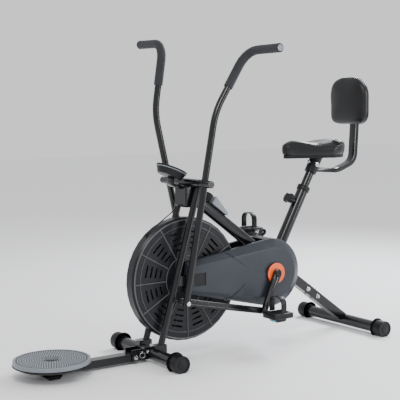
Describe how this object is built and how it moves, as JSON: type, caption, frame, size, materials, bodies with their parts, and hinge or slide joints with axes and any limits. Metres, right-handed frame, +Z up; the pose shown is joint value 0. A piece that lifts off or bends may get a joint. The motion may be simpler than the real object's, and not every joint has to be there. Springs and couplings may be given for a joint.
{
  "type": "air bike",
  "caption": "Upright exercise bike braked by a caged fan, with swinging handlebars on links, a height-adjustable saddle with back rest and a fold-up waist twister.",
  "frame": {"origin": "middle of the machine's footprint, on the floor", "axes": "+X towards the rear, +Y to the rider's right, +Z up"},
  "size_m": [1.704, 0.6874, 1.3065],
  "materials": {
    "black_enamel": "gloss black enamel",
    "black_plastic": "moulded, satin black",
    "slate_plastic": "moulded, satin slate grey",
    "grey_plastic": "moulded, mid grey",
    "orange_plastic": "smooth orange",
    "steel": "bright plated steel",
    "foam": "closed-cell foam, dark grey",
    "vinyl": "glossy black upholstery vinyl",
    "belt_rubber": "ribbed drive belt"
  },
  "bodies": {
    "frame": {"front_foot_tube": "black_enamel", "front_foot_cap_left": "black_plastic", "front_foot_cap_right": "black_plastic", "rear_foot_tube": "black_enamel", "rear_foot_cap_left": "black_plastic", "rear_foot_cap_right": "black_plastic", "fork_leg_left": "black_enamel", "fork_leg_right": "black_enamel", "head_bracket": "black_enamel", "pivot_shaft": "steel", "top_tube": "black_enamel", "seat_tube": "black_enamel", "seat_collar": "black_plastic", "bottom_bracket_shell": "black_enamel", "rear_leg": "black_enamel", "fan_axle": "steel", "fan_cover_left": "black_plastic", "fan_cover_right": "black_plastic", "chain_cover_left": "slate_plastic", "chain_cover_right": "slate_plastic", "cover_spine": "slate_plastic", "drive_belt": "belt_rubber", "console": "black_plastic", "console_bracket": "black_enamel", "tension_housing": "grey_plastic", "brake_cable": "black_plastic", "twister_bracket": "black_enamel", "twister_bolt": "steel"},
    "crank": {"crank_spindle": "steel", "drive_pulley": "steel", "crank_arm_left": "black_enamel", "crank_arm_right": "black_enamel", "crank_disc_left": "orange_plastic", "crank_disc_right": "orange_plastic", "pedal_axle_left": "steel", "pedal_axle_right": "steel"},
    "fan": {"fan_wheel": "black_plastic", "fan_pulley": "steel"},
    "pedal_left": {"pedal_left": "black_plastic", "pedal_strap_left": "black_plastic"},
    "pedal_right": {"pedal_right": "black_plastic", "pedal_strap_right": "black_plastic"},
    "handle_left": {"handlebar_left": "black_enamel", "grip_left": "foam", "link_bolt_left": "steel"},
    "handle_right": {"handlebar_right": "black_enamel", "grip_right": "foam", "link_bolt_right": "steel"},
    "link_left": {"link_rod_left": "black_enamel"},
    "link_right": {"link_rod_right": "black_enamel"},
    "seat": {"seat_post": "black_enamel", "seat_base": "black_plastic", "seat_pad": "vinyl", "backrest_bar": "black_enamel", "backrest_pad": "vinyl"},
    "height_knob": {"height_knob": "black_plastic"},
    "tension_knob": {"tension_knob": "black_plastic"},
    "twister_arm": {"twister_arm": "black_enamel", "twister_base": "black_plastic"},
    "twister_disc": {"twister_disc": "grey_plastic"}
  },
  "joints": [
    {"name": "crank_spin", "type": "hinge", "parent": "frame", "child": "crank", "pos_m": [0.311, 0, 0.306], "axis": [0, 1, 0], "continuous": true},
    {"name": "fan_spin", "type": "hinge", "parent": "frame", "child": "fan", "pos_m": [-0.102, 0, 0.317], "axis": [0, 1, 0], "continuous": true},
    {"name": "pedal_left_spin", "type": "hinge", "parent": "crank", "child": "pedal_left", "pos_m": [0.23808, -0.156, 0.15243], "axis": [0, 1, 0], "continuous": true},
    {"name": "pedal_right_spin", "type": "hinge", "parent": "crank", "child": "pedal_right", "pos_m": [0.38392, 0.156, 0.45957], "axis": [0, 1, 0], "continuous": true},
    {"name": "handle_left_swing", "type": "hinge", "parent": "frame", "child": "handle_left", "pos_m": [-0.078, -0.135, 0.712], "axis": [0, 1, 0], "range_deg": [-28, 5]},
    {"name": "handle_right_swing", "type": "hinge", "parent": "frame", "child": "handle_right", "pos_m": [-0.078, 0.135, 0.712], "axis": [0, 1, 0], "range_deg": [-5, 28]},
    {"name": "link_left_pivot", "type": "hinge", "parent": "handle_left", "child": "link_left", "pos_m": [-0.1719, -0.0905, 0.24127], "axis": [0, 1, 0], "range_deg": [-5, 28]},
    {"name": "link_right_pivot", "type": "hinge", "parent": "handle_right", "child": "link_right", "pos_m": [0.02459, 0.0905, 0.24309], "axis": [0, 1, 0], "range_deg": [-28, 5]},
    {"name": "seat_height", "type": "slide", "parent": "frame", "child": "seat", "axis": [0.4894, 0, 0.8721], "range_m": [-0.065, 0.12]},
    {"name": "height_knob_pull", "type": "slide", "parent": "frame", "child": "height_knob", "axis": [-0.8721, 0, 0.4894], "range_m": [0, 0.008], "stiffness_N_per_m": 900},
    {"name": "tension_knob_turn", "type": "hinge", "parent": "frame", "child": "tension_knob", "pos_m": [0.01952, 0, 0.63346], "axis": [0.606, 0, 0.7955], "range_deg": [-150, 150]},
    {"name": "twister_fold", "type": "hinge", "parent": "frame", "child": "twister_arm", "pos_m": [-0.349, 0, 0.026], "axis": [0, 1, 0], "range_deg": [0, 75]},
    {"name": "twister_spin", "type": "hinge", "parent": "twister_arm", "child": "twister_disc", "pos_m": [-0.7, 0, 0.071], "axis": [0, 0, 1], "continuous": true}
  ],
  "couplings": [
    {"joint": "fan_spin", "follows": "crank_spin", "ratio": 5},
    {"joint": "handle_right_swing", "follows": "handle_left_swing", "ratio": -1},
    {"joint": "link_left_pivot", "follows": "handle_left_swing", "ratio": -1},
    {"joint": "link_right_pivot", "follows": "handle_left_swing", "ratio": 1}
  ]
}
